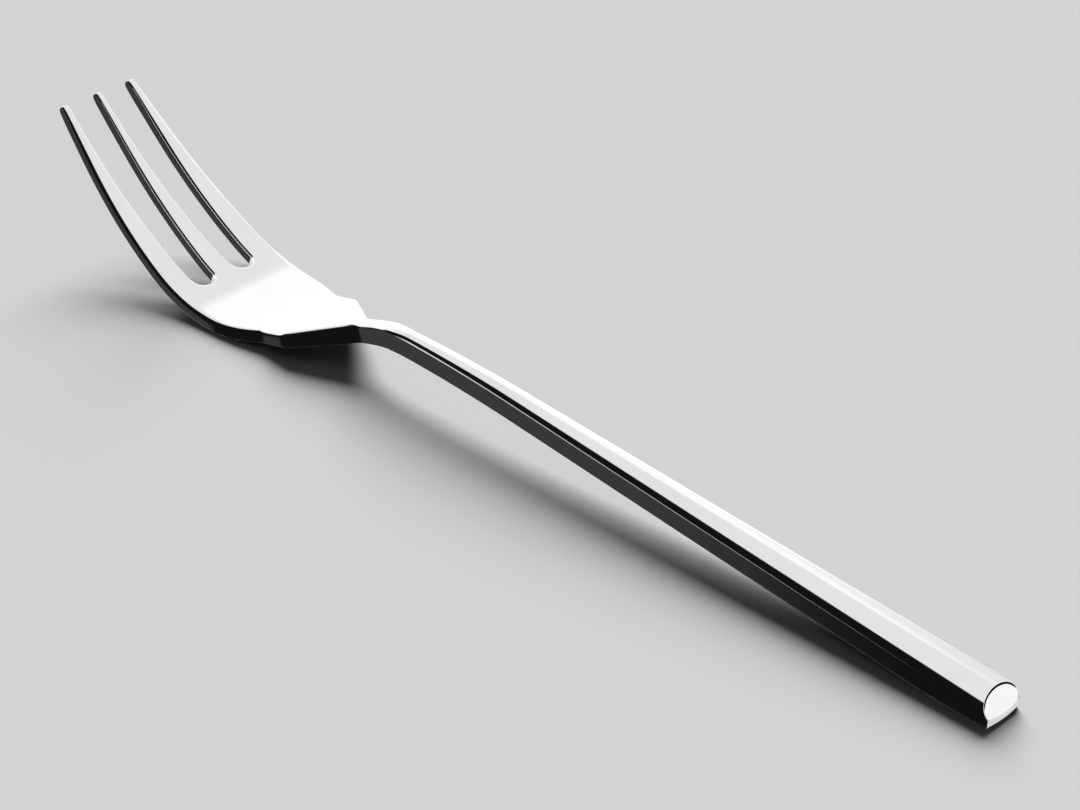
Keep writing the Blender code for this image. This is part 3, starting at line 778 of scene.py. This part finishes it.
def hung(right, left, bottom, top, softness):
    """How much of a direction a hung screen covers, between two bearings and two heights."""
    covered = None
    edges = ((bearing, right, 1.0), (bearing, left, -1.0), (height, bottom, 1.0), (height, top, -1.0))
    for angle, edge, sign in edges:
        inside = add(room, "ShaderNodeMapRange", {
            "Value": angle.outputs[0],
            "From Min": math.radians(edge - sign * softness / 2),
            "From Max": math.radians(edge + sign * softness / 2),
        }, interpolation_type="SMOOTHSTEP")
        covered = inside if covered is None else add(room, "ShaderNodeMath", {
            0: covered.outputs[0], 1: inside.outputs[0],
        }, operation="MULTIPLY")
    return covered.outputs[0]


def soft_lamp(name, around, above, spread, strength):
    """Distant soft lamp, seen from the table at a bearing and a height; the steel doesn't mirror it."""
    light = bpy.data.lights.new(name, "SUN")
    light.energy = strength
    light.angle = math.radians(spread)
    lamp = bpy.data.objects.new(name, light)
    bpy.context.scene.collection.objects.link(lamp)
    around, above = math.radians(around), math.radians(above)
    towards = Vector((
        math.cos(above) * math.cos(around), math.cos(above) * math.sin(around), math.sin(above),
    ))
    lamp.rotation_euler = towards.to_track_quat("Z", "Y").to_euler()
    lamp.visible_glossy = False


level = ROOM_LEVEL
for screen, strength in (
    (hung(-190.0, 190.0, -100.0, 0.0, 6.0), TABLE_LEVEL),  # table all round
    (hung(-62.0, 24.0, -8.0, 42.0, 8.0), SCREEN_LEVEL),  # screen beyond the tines
    (hung(-62.0, -30.0, -100.0, 0.0, 8.0), SCREEN_LEVEL),  # its light on the table
    (hung(-172.0, -74.0, 0.0, 38.0, 8.0), SCREEN_LEVEL),  # screen along the far side
    (hung(30.0, 125.0, -100.0, 50.0, 5.0), CLOTH_LEVEL),  # cloth along the near side
    (hung(122.0, 172.0, -100.0, 12.0, 5.0), CLOTH_LEVEL),  # low cloth by the handle end
    (hung(14.0, 45.5, -100.0, -14.0, 6.0), SHADE_LEVEL),  # shade on the table beside the cloth
    (hung(-75.0, 40.0, -100.0, -46.0, 6.0), SHADE_LEVEL),  # shade on the table under the fork
):
    level = add(room, "ShaderNodeMix", {
        "Factor": screen, "A": level, "B": strength,
    }, data_type="FLOAT").outputs["Result"]

# The room is drawn for the steel alone. Light that has met the table finds the room dark, so that only
# the lamps light the table.
path = add(room, "ShaderNodeLightPath")
past_table = add(room, "ShaderNodeMath", {
    0: path.outputs["Diffuse Depth"], 1: 0.5,
}, operation="GREATER_THAN")
level = add(room, "ShaderNodeMix", {
    "Factor": past_table.outputs[0], "A": level, "B": 0.0,
}, data_type="FLOAT").outputs["Result"]
backdrop = add(room, "ShaderNodeBackground", {"Color": colour("#FFFFFF"), "Strength": level})
add(room, "ShaderNodeOutputWorld", {"Surface": backdrop.outputs[0]})
soft_lamp("key_lamp", -46.0, 35.0, 42.0, 5.0)
soft_lamp("fill_lamp", 0.0, 89.0, 90.0, 0.1)

# Camera: the photograph's view, from the near side of the handle end. Its place and lens were fitted to the
# outline of the fork, with the lens counted in pixels of the photograph's width.
CAMERA_PLACE = (-0.26005, 0.25034, 0.23735)
CAMERA_PITCH, CAMERA_YAW, CAMERA_ROLL = math.radians(32.648), math.radians(-44.920), math.radians(-0.176)
FRAME_WIDTH = 1080
LENS_PIXELS = 2847.5
view = bpy.data.cameras.new("photograph_view")
view.sensor_fit = "HORIZONTAL"
view.sensor_width = 36.0
view.lens = LENS_PIXELS / FRAME_WIDTH * view.sensor_width
view.clip_start = 0.01
camera = bpy.data.objects.new("photograph_view", view)
bpy.context.scene.collection.objects.link(camera)
look = Vector((
    math.cos(CAMERA_PITCH) * math.cos(CAMERA_YAW),
    math.cos(CAMERA_PITCH) * math.sin(CAMERA_YAW),
    -math.sin(CAMERA_PITCH),
))
camera.location = CAMERA_PLACE
roll = Quaternion((0.0, 0.0, 1.0), CAMERA_ROLL)
camera.rotation_euler = (look.to_track_quat("-Z", "Y") @ roll).to_euler()
bpy.context.scene.camera = camera
bpy.context.scene.view_settings.view_transform = "Standard"

bpy.context.view_layer.update()
